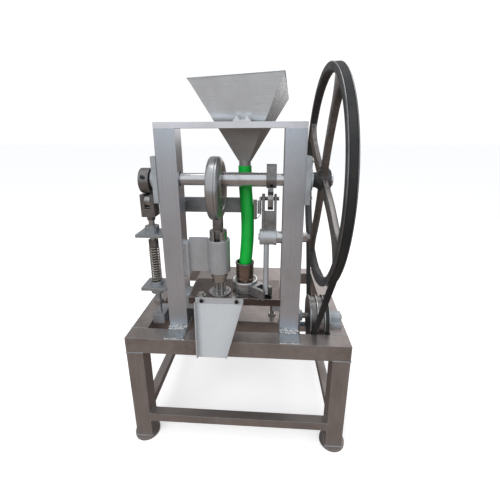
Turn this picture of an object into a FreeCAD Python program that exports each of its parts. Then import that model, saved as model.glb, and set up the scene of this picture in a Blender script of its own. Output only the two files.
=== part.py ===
import FreeCAD, Part
import math
import os
import re

# Single-punch tablet press on a welded tube table. Millimetres, +Z up.
# X runs along the shaft, the front of the machine faces -Y, and the origin is on the floor
# at the middle of the whole machine's footprint. Depths below are counted from the table's
# front face, and depth_shift moves them all to the origin.

DIMS = {
    "depth_shift": -149.25,
    # table
    "table_half": 295, "table_depth": 460, "table_top": 340, "tube_side": 45, "tube_wall": 3,
    "end_cap": 3, "foot_radius": 35, "foot_thick": 6, "stretcher_side": 25, "stretcher_low": 62,
    "stretcher_wall": 2,
    "slot_back": 92, "inner_rail_left": 119, "plate_left": -183, "plate_thick": 6,
    # portal
    "column_side": 50, "column_wall": 3, "left_column": -188, "right_column": 114,
    "column_front": 51, "column_top": 867, "base_thick": 5, "base_front": 4,
    "top_bar_high": 14, "top_bar_deep": 15, "shaft_hole": 18,
    "rear_bar_y": 156, "rear_bar_thick": 6, "rear_bar_low": 646, "rear_bar_high": 42,
    "rear_bar_right": 30,
    # camshaft
    "shaft_y": 76, "shaft_z": 749, "shaft_radius": 15, "running_gap": 0.06,
    "flange_thick": 12, "flange_wide": 56, "flange_high": 112, "boss_radius": 27,
    "punch_x": -49, "half_throw": 8, "sheave_radius": 34, "ring_radius": 50, "strap_radius": 78,
    "strap_wide": 32, "strap_drop": 23,
    "lift_cam_x": -222, "cam_wide": 24, "lift_cam_radius": 31, "lift_half": 2,
    "feed_cam_x": 85, "feed_base": 20.4, "feed_nose": 12, "feed_nose_up": 25.5,
    # flywheel and drive
    "wheel_x": 207.5, "wheel_radius": 250, "rim_wide": 19, "rim_inner": 231, "groove_radius": 243,
    "hub_radius": 28, "hub_left": 12, "arm_thick": 12, "arm_wide": 30, "belt_wide": 12.4, "belt_thick": 6,
    "belt_gap": 0.4, "jack_y": 108, "jack_z": 356, "jack_groove": 54, "jack_rim": 60,
    "jack_radius": 8, "motor_y": 250, "motor_z": 228, "motor_radius": 58, "motor_groove": 28,
    "motor_rim": 33, "motor_belt_x": 241.5, "motor_belt_wide": 8,
    # ram and tooling
    "ram_radius": 22.5, "ram_low": 492, "ram_top": 618, "guide_radius": 29.5, "guide_low": 505,
    "guide_top": 595, "tang_wide": 16, "neck_wide": 24, "pin_radius": 5, "gudgeon_z": 600,
    "holder_low": 478, "punch_radius": 3.5, "punch_circle": 13, "punch_tip": 441,
    "die_top": 446, "die_radius": 30, "bore_gap": 0.08, "press_top": 443, "press_thick": 20,
    "press_left": -128, "press_front": 42, "press_back": 150,
    # lifter
    "rod_radius": 7.5, "roller_radius": 18, "fork_low": 655, "fork_top": 712, "fork_wide": 34,
    "yoke_low": 346, "yoke_high": 28, "yoke_back": 118, "lower_punch_top": 436,
    "upper_guide": 604, "lower_guide": 455, "guide_plate": 8, "guide_left": -256,
    "collar_low": 572, "collar_high": 18, "spring_radius": 14, "spring_wire": 4,
    # feed lever and shoe
    "stud_z": 603, "stud_radius": 8, "lever_arm": 100, "lever_tilt": 24.2, "feed_roller": 29.5,
    "feed_pin_half": 24.5, "rod_tilt": 9.5, "feed_rod": 7, "lever_hub": 19.5, "feed_rod_long": 151,
    "pipe_x": 17.5, "pipe_y": 96, "pipe_radius": 24, "pipe_wall": 3, "pipe_low": 470,
    "pipe_top": 524, "shoe_radius": 34, "shoe_top": 472, "slide_gap": 0.3, "shoe_arm": 80,
    "shoe_turn": -38.4, "slot_half": 10.5, "prong_wide": 8,
    # hopper and hose
    "hopper_x": 17.5, "hopper_y": 122, "outlet_z": 790, "hopper_high": 172, "hopper_top": 212,
    "outlet_half": 14, "sheet_wall": 1.5, "hose_radius": 17, "hose_top": 778,
}
WORD = re.compile(r"[A-Za-z_]+[A-Za-z_0-9]*")

doc = FreeCAD.newDocument("tablet_press")
sheet = doc.addObject("Spreadsheet::Sheet", "Dims")
for row, (alias, value) in enumerate(DIMS.items(), start=1):
    sheet.set(f"A{row}", alias)
    sheet.set(f"B{row}", str(value))
    sheet.setAlias(f"B{row}", alias)
doc.recompute()

NODES = []


def size(alias):
    """A driving dimension as a number, read back from the sheet."""
    return float(sheet.get(alias))


def bound(text):
    """The expression with every driving dimension read from the sheet."""
    return WORD.sub(lambda m: "Dims." + m.group(0) if m.group(0) in DIMS else m.group(0), str(text))


def bind(obj, **expressions):
    for name, text in expressions.items():
        obj.setExpression(name.replace("__", "."), bound(text))
    return obj


def put(obj, x, y, z, turn=None):
    """Place an object by expressions; y is counted from the table's front face."""
    if turn:
        obj.Placement = FreeCAD.Placement(FreeCAD.Vector(), turn)
    return bind(obj, Placement__Base__x=x, Placement__Base__y=f"({y}) + depth_shift",
                Placement__Base__z=z)


def about(axis, degrees):
    return FreeCAD.Rotation(FreeCAD.Vector(*axis), degrees)


TURN_TO = {"x": about((0, 1, 0), 90), "y": about((1, 0, 0), -90), "z": about((0, 0, 1), 0)}


def box(x, y, z):
    """A block from three (low, high) pairs of expressions."""
    obj = doc.addObject("Part::Box", "Block")
    bind(obj, Length=f"({x[1]}) - ({x[0]})", Width=f"({y[1]}) - ({y[0]})",
         Height=f"({z[1]}) - ({z[0]})")
    return put(obj, x[0], y[0], z[0])


def rod(axis, span, at, radius):
    """A cylinder along x, y or z; at gives the other two coordinates in order."""
    obj = doc.addObject("Part::Cylinder", "Round")
    bind(obj, Radius=radius, Height=f"({span[1]}) - ({span[0]})")
    spots = list(at)
    spots.insert("xyz".index(axis), span[0])
    return put(obj, *spots, turn=TURN_TO[axis])


def nut(axis, span, at, radius):
    """A hexagonal prism along x, y or z."""
    obj = doc.addObject("Part::Prism", "Hexagon")
    obj.Polygon = 6
    bind(obj, Circumradius=radius, Height=f"({span[1]}) - ({span[0]})")
    spots = list(at)
    spots.insert("xyz".index(axis), span[0])
    return put(obj, *spots, turn=TURN_TO[axis])


def joined(*shapes):
    obj = doc.addObject("Part::MultiFuse", "Joined")
    obj.Shapes = list(shapes)
    return obj


def less(base, *tools):
    obj = doc.addObject("Part::Cut", "Less")
    obj.Base = base
    obj.Tool = tools[0] if len(tools) == 1 else joined(*tools)
    return obj


def group(*shapes):
    obj = doc.addObject("Part::Compound", "Group")
    obj.Links = list(shapes)
    return obj


def feature(shape):
    """An object whose shape was made with Part's own functions, moved by its Placement."""
    obj = doc.addObject("Part::Feature", "Made")
    obj.Shape = shape
    obj.Placement = FreeCAD.Placement(FreeCAD.Vector(0, size("depth_shift"), 0), FreeCAD.Rotation())
    return obj


def node(label, obj):
    obj.Label = label
    NODES.append(obj)


def tube_along(axis, x, y, z, wall):
    """A square tube: an outer block less a through cavity along the axis."""
    inner = []
    for name, (low, high) in zip("xyz", (x, y, z)):
        spare = "0" if name == axis else wall
        inner.append((f"{low} + {spare}", f"{high} - {spare}"))
    return less(box(x, y, z), box(*inner))


# ---------------------------------------------------------------- table

def table():
    rail_z = ("table_top - tube_side", "table_top")
    across = ("-table_half + end_cap", "table_half - end_cap")
    front, back = ("0", "tube_side"), ("table_depth - tube_side", "table_depth")
    left, right = ("-table_half", "-table_half + tube_side"), ("table_half - tube_side", "table_half")
    between = (front[1], back[0])
    node("table_long_rails", group(*[tube_along("x", across, y, rail_z, "tube_wall")
                                     for y in (front, back)]))
    node("table_side_rails", group(*[tube_along("y", x, between, rail_z, "tube_wall")
                                     for x in (left, right)]))
    cross = ("slot_back", "slot_back + tube_side")
    inner = ("inner_rail_left", "inner_rail_left + tube_side")
    node("table_inner_rails", group(tube_along("x", (left[1], "inner_rail_left"), cross, rail_z, "tube_wall"),
                                    tube_along("y", inner, (cross[0], back[0]), rail_z, "tube_wall")))
    caps = [box(side, deep, rail_z)
            for side in (("-table_half", "-table_half + end_cap"), ("table_half - end_cap", "table_half"))
            for deep in (front, back)]
    node("rail_end_caps", group(*caps))
    node("table_plate", box(("plate_left", "inner_rail_left"), (cross[1], back[0]),
                            ("table_top - plate_thick", "table_top")))
    corners = [(x, y) for x in (left, right) for y in (front, back)]
    node("table_legs", group(*[tube_along("z", x, y, ("foot_thick", rail_z[0]), "tube_wall")
                               for x, y in corners]))
    feet = [rod("z", ("0", "foot_thick"), (f"({x[0]} + {x[1]}) / 2", f"({y[0]} + {y[1]}) / 2"), "foot_radius")
            for x, y in corners]
    node("foot_discs", group(*feet))
    low = ("stretcher_low", "stretcher_low + stretcher_side")
    inset = "(tube_side - stretcher_side) / 2"
    span = (left[1], right[0])
    ties = [tube_along("x", span, y, low, "stretcher_wall")
            for y in (("0", "stretcher_side"), ("table_depth - stretcher_side", "table_depth"))]
    ties += [tube_along("y", (f"{edge} + {inset}", f"{edge} + {inset} + stretcher_side"), between, low,
                        "stretcher_wall") for edge in ("-table_half", "table_half - tube_side")]
    node("table_stretchers", group(*ties))


# ---------------------------------------------------------------- portal

def portal():
    y = ("column_front", "column_front + column_side")
    z = ("table_top + base_thick", "column_top")
    bases, caps = [], []
    for place, edge in (("left", "left_column"), ("right", "right_column")):
        x = (edge, f"{edge} + column_side")
        through = (f"{edge} - 1", f"{edge} + column_side + 1")
        outer = (through[0], f"{edge} + 10") if place == "left" else (f"{edge} + 40", through[1])
        holes = [rod("x", through, ("shaft_y", "shaft_z"), "shaft_hole")]
        holes += [rod("x", outer, ("shaft_y", f"shaft_z + {dz}"), "5.3") for dz in (-44, 44)]
        if place == "right":
            holes.append(rod("x", through, ("shaft_y", "stud_z"), "stud_radius"))
        node(f"column_{place}", less(tube_along("z", x, y, z, "column_wall"), *holes))
        bases.append(box(x, ("base_front", y[1]), ("table_top", "table_top + base_thick")))
        caps.append(box(x, ("column_front + top_bar_deep", y[1]), ("column_top", "column_top + 3")))
    node("column_end_plates", group(*bases, *caps))
    node("top_bar", box(("left_column", "right_column + column_side"),
                        ("column_front", "column_front + top_bar_deep"),
                        ("column_top", "column_top + top_bar_high")))
    bar_y = ("rear_bar_y", "rear_bar_y + rear_bar_thick")
    bar = box(("left_column", "rear_bar_right"), bar_y,
              ("rear_bar_low", "rear_bar_low + rear_bar_high"))
    arm = box(("left_column + 10", "left_column + 40"), (y[1], bar_y[0]),
              ("rear_bar_low + 8", "rear_bar_low + 34"))
    node("rear_bar", joined(bar, arm))


def bearings():
    """Two flange bearings on the columns' outer faces, each with its two bolts."""
    housings, bolts = [], []
    for face, out in (("left_column", -1), ("right_column + column_side", 1)):
        def span(near, far):
            ends = (f"{face} + {out} * ({near})", f"{face} + {out} * ({far})")
            return ends if out > 0 else ends[::-1]
        plate = box(span("0", "flange_thick"), ("shaft_y - flange_wide / 2", "shaft_y + flange_wide / 2"),
                    ("shaft_z - flange_high / 2", "shaft_z + flange_high / 2"))
        boss = rod("x", span("0", "flange_thick + 4.8"), ("shaft_y", "shaft_z"), "boss_radius")
        bore = rod("x", span("-1", "40"), ("shaft_y", "shaft_z"), "shaft_radius + running_gap")
        holes = [rod("x", span("-1", "40"), ("shaft_y", f"shaft_z + {dz}"), "5.3") for dz in (-44, 44)]
        housings.append(less(joined(plate, boss), bore, *holes))
        for dz in (-44, 44):
            at = ("shaft_y", f"shaft_z + {dz}")
            bolts.append(joined(rod("x", span("-column_wall - 9", "flange_thick + 1"), at, "5"),
                                nut("x", span("flange_thick", "flange_thick + 4.5"), at, "9"),
                                nut("x", span("-column_wall - 8", "-column_wall"), at, "9")))
    node("shaft_bearings", group(*housings))
    node("bearing_bolts", group(*bolts))


# ---------------------------------------------------------------- camshaft

def camshaft():
    at = ("shaft_y", "shaft_z")
    node("main_shaft", rod("x", ("lift_cam_x - cam_wide / 2 - 3", "wheel_x + 22"), at, "shaft_radius"))
    strap_x = ("punch_x - strap_wide / 2", "punch_x + strap_wide / 2")
    node("eccentric_sheave", less(rod("x", strap_x, ("shaft_y", "shaft_z - half_throw"), "sheave_radius"),
                                  rod("x", ("punch_x - 40", "punch_x + 40"), at, "shaft_radius")))
    bore = rod("x", ("punch_x - 40", "punch_x + 40"), ("shaft_y", "shaft_z - half_throw"),
               "sheave_radius + running_gap")
    ring = rod("x", strap_x, ("shaft_y", "shaft_z - 2 * half_throw"), "ring_radius")
    node("eccentric_ring", less(ring, bore))
    sleeve_x = (strap_x[1], "feed_cam_x - cam_wide / 2")
    collar_x = ("right_column + column_side + flange_thick + 5", "wheel_x - hub_left")
    node("shaft_sleeves", group(less(rod("x", sleeve_x, at, "shaft_radius + 2.3"),
                                     rod("x", sleeve_x, at, "shaft_radius")),
                                less(rod("x", collar_x, at, "shaft_radius + 2.3"),
                                     rod("x", collar_x, at, "shaft_radius"))))
    node("feed_cam", feed_cam())
    cam_x = ("lift_cam_x - cam_wide / 2", "lift_cam_x + cam_wide / 2")
    node("lift_cam", less(rod("x", cam_x, ("shaft_y", "shaft_z - 2 * lift_half"), "lift_cam_radius"),
                          rod("x", cam_x, at, "shaft_radius")))
    ring_x = ("left_column - flange_thick - 8.8", "left_column - flange_thick - 5")
    lower = ("shaft_y", "shaft_z - lift_half")
    node("cam_spacer_ring", less(rod("x", ring_x, lower, "shaft_radius + 8"),
                                 rod("x", ring_x, lower, "shaft_radius + 3")))


def feed_cam():
    """A round base and a smaller nose joined by their two common tangents, bored for the shaft."""
    x = ("feed_cam_x - cam_wide / 2", "feed_cam_x + cam_wide / 2")
    slope = "asin((feed_base - feed_nose) / feed_nose_up)"
    flank = doc.addObject("Part::Wedge", "Flank")
    wide, narrow = f"feed_base * cos({slope})", f"feed_nose * cos({slope})"
    low, high = f"feed_base * sin({slope})", f"feed_nose_up + feed_nose * sin({slope})"
    bind(flank, Xmin="0", Xmax="cam_wide", X2min="0", X2max="cam_wide", Zmin=f"-({wide})", Zmax=wide,
         Z2min=f"-({narrow})", Z2max=narrow, Ymin=low, Ymax=high)
    put(flank, x[0], "shaft_y", "shaft_z", turn=about((1, 0, 0), 90))
    return less(joined(rod("x", x, ("shaft_y", "shaft_z"), "feed_base"), flank,
                       rod("x", x, ("shaft_y", "shaft_z + feed_nose_up"), "feed_nose")),
                rod("x", (f"{x[0]} - 1", f"{x[1]} + 1"), ("shaft_y", "shaft_z"), "shaft_radius"))


# ---------------------------------------------------------------- flywheel and belt drive

def curved_arm(angle):
    """One arm as a flat band bowed along the wheel's plane, turned to its place about the shaft."""
    hub, rim, half = size("hub_radius") - 6, size("rim_inner") + 4, size("arm_wide") / 2
    bow, x = 10, size("wheel_x") - size("arm_thick") / 2
    V = FreeCAD.Vector
    one = Part.Arc(V(x, -half - 3, hub), V(x, bow - half, (hub + rim) / 2), V(x, -half - 12, rim))
    two = Part.Arc(V(x, half + 12, rim), V(x, bow + half, (hub + rim) / 2), V(x, half + 3, hub))
    edges = [one.toShape(), Part.LineSegment(one.EndPoint, two.StartPoint).toShape(), two.toShape(),
             Part.LineSegment(two.EndPoint, one.StartPoint).toShape()]
    arm = Part.Face(Part.Wire(edges)).extrude(V(size("arm_thick"), 0, 0))
    ring = Part.makeCylinder(size("rim_inner"), 60, V(x - 20, 0, 0), V(1, 0, 0))
    ring = ring.cut(Part.makeCylinder(size("hub_radius"), 60, V(x - 20, 0, 0), V(1, 0, 0)))
    arm = arm.common(ring)
    arm.rotate(V(0, 0, 0), V(1, 0, 0), angle)
    arm.translate(V(0, size("shaft_y"), size("shaft_z")))
    return arm.Solids[0]


def flywheel():
    at = ("shaft_y", "shaft_z")
    rim = ("wheel_x - rim_wide / 2", "wheel_x + rim_wide / 2")
    groove = ("wheel_x - belt_wide / 2 - 0.4", "wheel_x + belt_wide / 2 + 0.4")
    tread = less(rod("x", groove, at, "wheel_radius + 5"), rod("x", groove, at, "groove_radius"))
    node("flywheel_rim", less(rod("x", rim, at, "wheel_radius"), rod("x", rim, at, "rim_inner"), tread))
    node("flywheel_arms", feature(Part.makeCompound([curved_arm(29 + 90 * k) for k in range(4)])))
    hub = ("wheel_x - hub_left", "wheel_x + 16")
    node("flywheel_hub", less(rod("x", hub, at, "hub_radius"), rod("x", hub, at, "shaft_radius")))


def belt(x, wide, wheels, thick):
    """A flat belt around two wheels, each (y, z, radius): the band between two tangent outlines."""
    def outline(grow):
        (y1, z1, r1), (y2, z2, r2) = [(y, z, r + grow) for y, z, r in wheels]
        lean = math.atan2(z2 - z1, y2 - y1)
        opening = math.acos((r1 - r2) / math.hypot(y2 - y1, z2 - z1))
        spots = [(y + r * math.cos(lean + side * opening), z + r * math.sin(lean + side * opening))
                 for y, z, r in ((y1, z1, r1), (y2, z2, r2)) for side in (1, -1)]
        a, b, c, d = [FreeCAD.Vector(x, *spot) for spot in spots]
        far = FreeCAD.Vector(x, y1 - r1 * math.cos(lean), z1 - r1 * math.sin(lean))
        near = FreeCAD.Vector(x, y2 + r2 * math.cos(lean), z2 + r2 * math.sin(lean))
        edges = [Part.Arc(a, far, b), Part.LineSegment(b, d), Part.Arc(d, near, c), Part.LineSegment(c, a)]
        return Part.Face(Part.Wire([edge.toShape() for edge in edges]))
    along = FreeCAD.Vector(wide, 0, 0)
    return feature(outline(thick).extrude(along).cut(outline(0).extrude(along)))


def drive():
    """Jackshaft with its stepped pulley, the two belts, and the motor that hangs under the table."""
    at = ("jack_y", "jack_z")
    face = "right_column + column_side"
    shaft = rod("x", (f"{face} + 2", "table_half - 4"), at, "jack_radius")
    discs = [rod("x", (f"wheel_x + {low}", f"wheel_x + {high}"), at, "jack_rim")
             for low, high in ((-11.5, -7.5), (7.5, 11.5), (26.5, 29.5), (38.5, 41.5))]
    core = rod("x", ("wheel_x - 11.5", "wheel_x + 41.5"), at, "jack_groove")
    pulley = less(joined(core, *discs), rod("x", ("wheel_x - 12", "wheel_x + 42"), at, "jack_radius"))
    node("step_pulley", group(shaft, pulley))
    x = ("table_half - 38", "table_half - 8")
    plate_z = ("jack_z - 56", "jack_z + 18")
    flange = joined(box((face, f"{face} + 10"), ("jack_y - 21", "jack_y + 21"), plate_z),
                    rod("x", (face, f"{face} + 16"), at, "15"))
    block = joined(box(x, ("jack_y - 30", "jack_y + 30"), ("table_top", "table_top + 10")),
                   box(x, ("jack_y - 15", "jack_y + 15"), ("table_top", "jack_z")),
                   rod("x", x, at, "15"))
    bores = [rod("x", (f"{face} - 1", "table_half"), at, "jack_radius + running_gap") for _ in range(2)]
    node("jack_bearings", group(less(flange, bores[0]), less(block, bores[1])))
    jack, gap = (size("jack_y"), size("jack_z")), size("belt_gap")
    big = (size("shaft_y"), size("shaft_z"), size("groove_radius") + gap)
    small = (*jack, size("jack_groove") + gap)
    wheel_belt = belt(size("wheel_x") - size("belt_wide") / 2, size("belt_wide"), (big, small),
                      size("belt_thick"))
    motor = (size("motor_y"), size("motor_z"), size("motor_groove") + gap)
    wide = size("motor_belt_wide")
    node("drive_belts", group(wheel_belt, belt(size("motor_belt_x") - wide / 2, wide, (small, motor), 4)))
    spot = ("motor_y", "motor_z")
    can = rod("x", (10, 178), spot, "motor_radius")
    foot = box((20, 112), ("motor_y - 45", "motor_y + 45"), ("motor_z + 45", "table_top - plate_thick"))
    node("motor_body", less(joined(can, foot), rod("x", (60, 200), spot, "8 + running_gap")))
    shaft = rod("x", (62, "motor_belt_x + 7"), spot, "8")
    rims = [rod("x", (f"motor_belt_x + {low}", f"motor_belt_x + {high}"), spot, "motor_rim")
            for low, high in ((-8, -5), (5, 7.5))]
    core = rod("x", ("motor_belt_x - 8", "motor_belt_x + 7.5"), spot, "motor_groove")
    bore = rod("x", ("motor_belt_x - 9", "motor_belt_x + 8"), spot, "8")
    node("motor_rotor", group(shaft, less(joined(core, *rims), bore)))


# ---------------------------------------------------------------- ram, tooling and press plate

def punch_spots():
    """One punch in the middle and six around it, as (x, y) expressions."""
    yield "punch_x", "shaft_y"
    for k in range(6):
        yield f"punch_x + punch_circle * cos({60 * k})", f"shaft_y + punch_circle * sin({60 * k})"


def ram():
    centre = ("punch_x", "shaft_y")
    strap_x = ("punch_x - strap_wide / 2", "punch_x + strap_wide / 2")
    wide_x = ("punch_x - neck_wide / 2", "punch_x + neck_wide / 2")
    tang_x = ("punch_x - tang_wide / 2", "punch_x + tang_wide / 2")
    neck_y = ("shaft_y - 13", "shaft_y + 13")
    strap = joined(rod("x", strap_x, ("shaft_y", "shaft_z - strap_drop"), "strap_radius"),
                   box(wide_x, neck_y, ("ram_top + 2", "shaft_z - 70")),
                   box(tang_x, neck_y, ("gudgeon_z - 14", "ram_top + 2")))
    pin_x = ("punch_x - ram_radius + 1", "punch_x + ram_radius - 1")
    bore = rod("x", strap_x, ("shaft_y", "shaft_z - 2 * half_throw"), "ring_radius + running_gap")
    node("eccentric_strap", less(strap, bore, rod("x", pin_x, ("shaft_y", "gudgeon_z"), "pin_radius")))
    node("gudgeon_pin", rod("x", pin_x, ("shaft_y", "gudgeon_z"), "pin_radius"))
    slot = box(tang_x, ("shaft_y - 30", "shaft_y + 30"), ("gudgeon_z - 14", "ram_top + 1"))
    hole = rod("x", ("punch_x - 30", "punch_x + 30"), ("shaft_y", "gudgeon_z"), "pin_radius")
    body = joined(rod("z", ("ram_low", "ram_top"), centre, "ram_radius"),
                  rod("z", ("holder_low", "ram_low"), centre, "ram_radius - 3"))
    node("ram", less(body, slot, hole))
    node("upper_punches", group(*[rod("z", ("punch_tip", "holder_low"), spot, "punch_radius")
                                  for spot in punch_spots()]))


def guide():
    centre = ("punch_x", "shaft_y")
    z = ("guide_low", "guide_top")
    node("ram_guide", less(rod("z", z, centre, "guide_radius"),
                           rod("z", ("guide_low - 1", "guide_top + 1"), centre, "ram_radius + running_gap")))
    outside = rod("z", ("guide_low - 5", "guide_top + 5"), centre, "guide_radius")
    arm = less(box((-126, "punch_x - 10"), (70, 82), ("guide_low", "guide_top + 2")), outside)
    node("guide_arm", group(arm, box(("left_column + column_side", -126), (60, 92), (495, 586))))


def press_plate():
    centre = ("punch_x", "shaft_y")
    low, top = "press_top - press_thick", "press_top"
    plate = box(("press_left", "right_column"), ("press_front", "press_back"), (low, top))
    spigot = less(rod("z", (top, f"{top} + 9"), ("pipe_x", "pipe_y"), "25"),
                  rod("z", (top, f"{top} + 9"), ("pipe_x", "pipe_y"), "18"))
    hole = rod("z", (f"{low} - 1", f"{top} + 1"), centre, "die_radius")
    node("press_plate", less(joined(plate, spigot), hole))
    die = rod("z", (f"{low} - 2", "die_top"), centre, "die_radius")
    bores = [rod("z", (f"{low} - 3", "die_top + 1"), spot, "punch_radius + bore_gap")
             for spot in punch_spots()]
    node("die", less(die, *bores))
    inner_left = "left_column + column_side"
    side = ("column_front", "column_front + column_side")
    left = joined(box((inner_left, "press_left"), side, (f"{low} - 20", top)),
                  box((inner_left, "press_left + 10"), side, (f"{low} - 20", low)))
    right = box(("right_column - 20", "right_column"), side, (f"{low} - 20", low))
    node("plate_brackets", group(left, right))
    screws = []
    for x in ("press_left + 16", "right_column - 19"):
        screws.append(joined(rod("z", ("table_top", low), (x, 131), "6"),
                             nut("z", ("table_top", "table_top + 5"), (x, 131), "11"),
                             nut("z", (f"{low} - 9", low), (x, 131), "11")))
    screws += [nut("z", (top, f"{top} + 8"), (x, 53), "8") for x in (-96, -9)]
    screws += [rod("y", ("press_front - 9.4", "press_front - 5"), (x, 438), "5") for x in (-92, 0)]
    node("plate_screws", group(*screws))


def chute():
    """Sheet tray that narrows as it falls from the press plate's front edge, with a lip to screw on."""
    V = FreeCAD.Vector
    top, foot, wall, side = (36.0, 432.0), (-27.0, 315.0), 1.6, 17.0
    left, right = (-109.0, -93.0), (17.5, -19.0)
    normal = V(0, -(top[1] - foot[1]), top[0] - foot[0]).normalize()

    def sheet_of(corners, push):
        return Part.Face(Part.makePolygon(corners + corners[:1])).extrude(push)
    tl, tr = V(left[0], *top), V(right[0], *top)
    bl, br = V(left[1], *foot), V(right[1], *foot)
    tray = sheet_of([tl, tr, br, bl], normal * wall)
    up = normal * side
    for a, b, inward in ((tl, bl, 1), (tr, br, -1)):
        tray = tray.fuse(sheet_of([a, b, b + up, a + up], V(inward * wall, 0, 0)))
    front = size("press_front")
    lip = Part.makeBox(right[0] - left[0], front - top[0] - 1, size("press_thick") - 2,
                       V(left[0], top[0] + 1, top[1] - 7))
    lip = lip.fuse(Part.makeBox(right[0] - left[0], 4.5, wall, V(left[0], top[0] - 3, top[1] - 1)))
    tray = tray.fuse(lip).removeSplitter()
    for x in (-92, 0):
        tray = tray.cut(Part.makeCylinder(3.2, 30, V(x, front + 5, 438), V(0, -1, 0)))
    node("chute", feature(tray.Solids[0] if len(tray.Solids) == 1 else tray))


# ---------------------------------------------------------------- lifter

def lifter():
    x, half = "lift_cam_x", "fork_wide / 2"
    centre = (x, "shaft_y")
    pin_z = "shaft_z - 2 * lift_half - lift_cam_radius - roller_radius - slide_gap"
    body = box((f"{x} - {half}", f"{x} + {half}"), ("shaft_y - 18", "shaft_y + 18"), ("fork_low", "fork_top"))
    gap = box((f"{x} - 7.3", f"{x} + 7.3"), ("shaft_y - 20", "shaft_y + 20"),
              (f"{pin_z} - roller_radius - 2", "fork_top + 1"))
    pin_x = (f"{x} - {half} - 3", f"{x} + {half} - 1")
    fork = less(body, gap, rod("x", (f"{x} - 30", f"{x} + 30"), ("shaft_y", pin_z), "pin_radius"))
    node("lift_fork", group(fork, rod("x", pin_x, ("shaft_y", pin_z), "pin_radius")))
    wheel_x = (f"{x} - 7", f"{x} + 7")
    node("lift_roller", less(rod("x", wheel_x, ("shaft_y", pin_z), "roller_radius"),
                             rod("x", wheel_x, ("shaft_y", pin_z), "pin_radius + running_gap")))
    lock = less(nut("z", ("fork_low - 11", "fork_low"), centre, "11"),
                rod("z", ("fork_low - 12", "fork_low + 1"), centre, "rod_radius"))
    yoke_top = "yoke_low + yoke_high"
    node("lift_rod", rod("z", (yoke_top, "fork_low"), centre, "rod_radius"))
    collar_z = ("collar_low", "collar_low + collar_high")
    node("rod_collars", group(lock, less(rod("z", collar_z, centre, "rod_radius + 5"),
                                         rod("z", collar_z, centre, "rod_radius"))))
    node("lift_spring", less(rod("z", ("lower_guide + guide_plate", "collar_low"), centre, "spring_radius"),
                             rod("z", ("lower_guide + guide_plate", "collar_low"), centre,
                                 "spring_radius - spring_wire")))
    thread = rod("z", ("lower_guide - 53", "lower_guide - 39"), centre, "rod_radius + running_gap")
    node("fill_nut", less(nut("z", ("lower_guide - 52", "lower_guide - 40"), centre, "14"), thread))
    z = ("yoke_low", yoke_top)
    node("lift_yoke", joined(box((f"{x} - 16", f"{x} + 16"), (60, "yoke_back"), z),
                             box((f"{x} - 16", "punch_x + 16"), ("yoke_back - 16", "yoke_back"), z),
                             box(("punch_x - 16", "punch_x + 16"), (60, "yoke_back"), z)))
    base = ("punch_x", "shaft_y")
    node("lower_punches", group(rod("z", (yoke_top, f"{yoke_top} + 20"), base, "20"),
                                *[rod("z", (f"{yoke_top} + 20", "lower_punch_top"), spot, "punch_radius")
                                  for spot in punch_spots()]))


def lifter_guides():
    centre = ("lift_cam_x", "shaft_y")
    deep = ("shaft_y - 30", "shaft_y + 30")
    guides = []
    for low, boss in (("upper_guide", ("upper_guide", "upper_guide + 24")),
                      ("lower_guide", ("lower_guide - 16", "lower_guide + guide_plate"))):
        plate = box(("guide_left", "left_column"), deep, (low, f"{low} + guide_plate"))
        bore = rod("z", (f"{low} - 30", f"{low} + 40"), centre, "rod_radius + running_gap")
        guides.append(less(joined(plate, rod("z", boss, centre, "18")), bore))
    seat = ("lower_guide + guide_plate", "lower_guide + guide_plate + 9")
    node("rod_guides", group(*guides, less(rod("z", seat, centre, "spring_radius + 4"),
                                           rod("z", seat, centre, "spring_radius + 0.5"))))


# ---------------------------------------------------------------- feed lever, shoe, hopper, hose

def tilted(obj, degrees):
    """Tip a finished shape back about the rocker stud's axis."""
    pivot = FreeCAD.Vector(0, size("shaft_y") + size("depth_shift"), size("stud_z"))
    turn = about((1, 0, 0), -degrees)
    obj.Placement = FreeCAD.Placement(pivot - turn.multVec(pivot), turn)
    return obj


def feed_lever():
    at = ("shaft_y", "stud_z")
    hub = rod("x", (58, 100), at, "lever_hub")
    prongs = [box(x, ("shaft_y - 12", "shaft_y + 12"), ("stud_z", "stud_z + lever_arm + 10"))
              for x in ((62, 70), (94, 100))]
    web = box((62, 100), ("shaft_y - 7", "shaft_y + 7"), ("stud_z", "stud_z + lever_arm - feed_roller - 4"))
    eye = rod("x", (50, 110), ("shaft_y", "stud_z + lever_arm"), "pin_radius")
    bore = rod("x", (50, 110), at, "stud_radius + running_gap")
    pin_x = ("82 - feed_pin_half", "82 + feed_pin_half")
    pin = rod("x", pin_x, ("shaft_y", "stud_z + lever_arm"), "pin_radius")
    fork = group(less(joined(hub, web, *prongs), bore, eye), pin)
    node("lever_fork", tilted(fork, size("lever_tilt")))
    x = (77, 91)
    roller = less(rod("x", x, ("shaft_y", "stud_z + lever_arm"), "feed_roller"),
                  rod("x", x, ("shaft_y", "stud_z + lever_arm"), "pin_radius + running_gap"))
    node("feed_roller_bearing", tilted(roller, size("lever_tilt")))
    arm = less(rod("z", ("stud_z - feed_rod_long", "stud_z - 10"), (75, "shaft_y"), "feed_rod"),
               rod("x", (50, 110), at, "lever_hub"))
    node("feed_rod_arm", tilted(arm, size("rod_tilt")))
    right_face = "right_column + column_side"
    stud = joined(rod("x", (54, f"{right_face} + 20"), at, "stud_radius"),
                  rod("x", (100.5, "right_column"), at, "16"),
                  nut("x", (right_face, f"{right_face} + 14"), at, "13"))
    node("rocker_stud", stud)


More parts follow.
